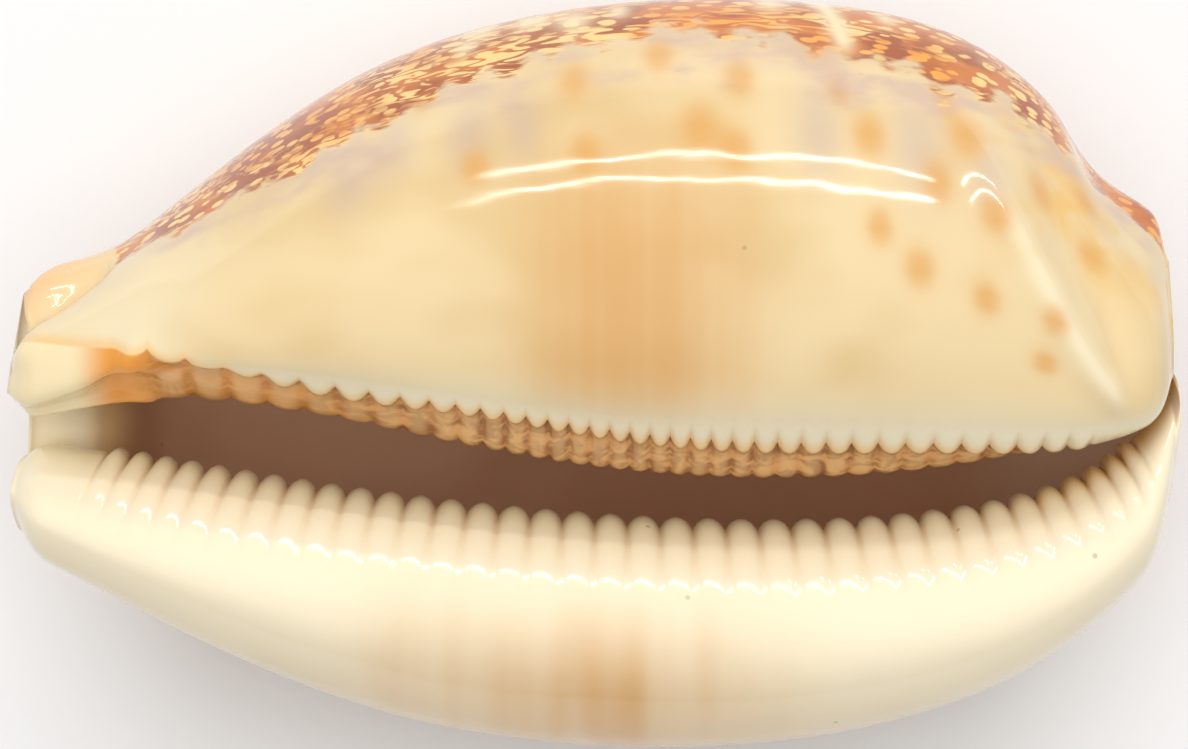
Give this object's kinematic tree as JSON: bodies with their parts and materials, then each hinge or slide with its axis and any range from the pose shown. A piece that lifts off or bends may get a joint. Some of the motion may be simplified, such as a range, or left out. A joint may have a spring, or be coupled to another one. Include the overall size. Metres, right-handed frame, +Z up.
{
  "type": "cowrie shell",
  "caption": "Egg-shaped glossy sea shell with a narrow toothed slot along its flattened side, lying on its domed back; rests as a natural ornament",
  "frame": {"origin": "centre of the bounding box's bottom face, on the floor the shell rests on", "axes": "+Z up, +X from the narrow canal end to the spire end, -Y to the outer-lip side, which the shell leans down on"},
  "size_m": [0.0764, 0.0494, 0.0425],
  "materials": {
    "shell": "naturally glossy, porcelain-like"
  },
  "bodies": {
    "root": {"shell": "shell"}
  },
  "joints": []
}
